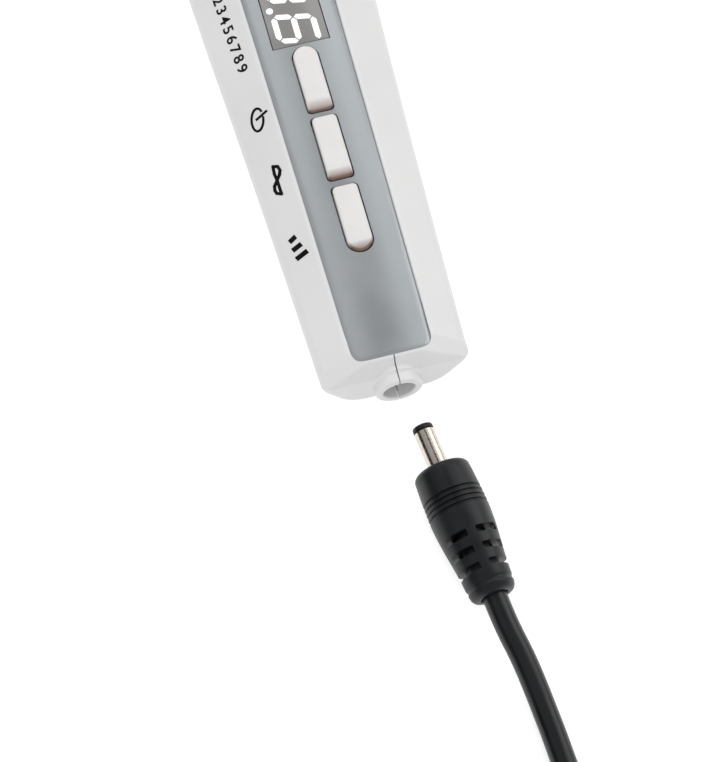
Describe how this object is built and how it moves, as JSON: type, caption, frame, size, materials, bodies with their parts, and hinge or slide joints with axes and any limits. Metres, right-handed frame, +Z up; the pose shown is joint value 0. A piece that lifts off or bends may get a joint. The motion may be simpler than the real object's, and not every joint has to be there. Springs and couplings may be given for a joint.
{
  "type": "plasma pen",
  "caption": "Slim faceted handheld cosmetic pen with display, press buttons, capped needle nose and separate charging lead.",
  "frame": {"origin": "centre of the pen's own box, without the charging lead, on the surface that it lies on", "axes": "+Y along the pen towards its needle, +Z up out of the buttons and the display, -Z into the surface under its flat back"},
  "size_m": [0.0442, 0.3525, 0.0194],
  "materials": {
    "white_shell": "satin",
    "grey_panel": "satin",
    "button_white": "gloss",
    "smoked_window": "gloss",
    "dark_plastic": "satin",
    "circuit_board": "gloss",
    "steel": "satin",
    "battery_foil": "satin",
    "foam": "matte",
    "red_wire": "satin",
    "black_wire": "satin",
    "brass": "polished",
    "bright_chrome": "polished",
    "clear_cap": "polished",
    "clear_lens": "polished",
    "nickel": "polished",
    "black_rubber": "satin",
    "white_plastic": "satin"
  },
  "bodies": {
    "pen": {"left_shell": "white_shell", "right_shell": "white_shell", "front_panel": "grey_panel", "display_window": "smoked_window", "display_module": "dark_plastic", "main_board": "circuit_board", "controller_chip": "dark_plastic", "boost_inductor": "dark_plastic", "power_switch": "steel", "light_switch": "steel", "level_switch": "steel", "battery_cell": "battery_foil", "battery_pad": "foam", "battery_red_lead": "red_wire", "battery_black_lead": "black_wire", "charge_jack": "dark_plastic", "jack_pin": "brass", "jack_spring_contact": "steel", "hv_transformer": "dark_plastic", "hv_lead": "red_wire", "needle_socket": "brass", "shell_screw_1": "steel", "shell_screw_2": "steel", "shell_screw_3": "steel", "nose_ring": "bright_chrome", "nose_cone": "white_plastic", "light_lens": "clear_lens", "light_led": "white_plastic", "plug_barrel": "nickel", "plug_tip_ring": "dark_plastic", "plug_grip": "black_rubber", "charge_cord_run": "black_rubber", "charge_cord_hank": "black_rubber", "charge_cord_tail": "black_rubber", "cord_tie": "black_rubber", "usb_grip": "black_rubber", "usb_shell": "steel", "usb_tongue": "white_plastic", "usb_contact_1": "brass", "usb_contact_2": "brass", "usb_contact_3": "brass", "usb_contact_4": "brass"},
    "power_key": {"power_button": "button_white", "power_stem": "dark_plastic"},
    "light_key": {"light_button": "button_white", "light_stem": "dark_plastic"},
    "level_key": {"level_button": "button_white", "level_stem": "dark_plastic"},
    "cap": {"tip_cap": "clear_cap"},
    "needle_unit": {"needle_hub": "brass", "needle": "steel"}
  },
  "joints": [
    {"name": "power_press", "type": "slide", "parent": "pen", "child": "power_key", "axis": [0, 0, -1], "range_m": [0, 0.0004], "stiffness_N_per_m": 1500},
    {"name": "light_press", "type": "slide", "parent": "pen", "child": "light_key", "axis": [0, 0, -1], "range_m": [0, 0.0004], "stiffness_N_per_m": 1500},
    {"name": "level_press", "type": "slide", "parent": "pen", "child": "level_key", "axis": [0, 0, -1], "range_m": [0, 0.0004], "stiffness_N_per_m": 1500},
    {"name": "cap_pull", "type": "slide", "parent": "pen", "child": "cap", "axis": [0, 1, 0], "range_m": [0, 0.031]},
    {"name": "needle_pull", "type": "slide", "parent": "pen", "child": "needle_unit", "axis": [0, 1, 0], "range_m": [0, 0.006]}
  ]
}
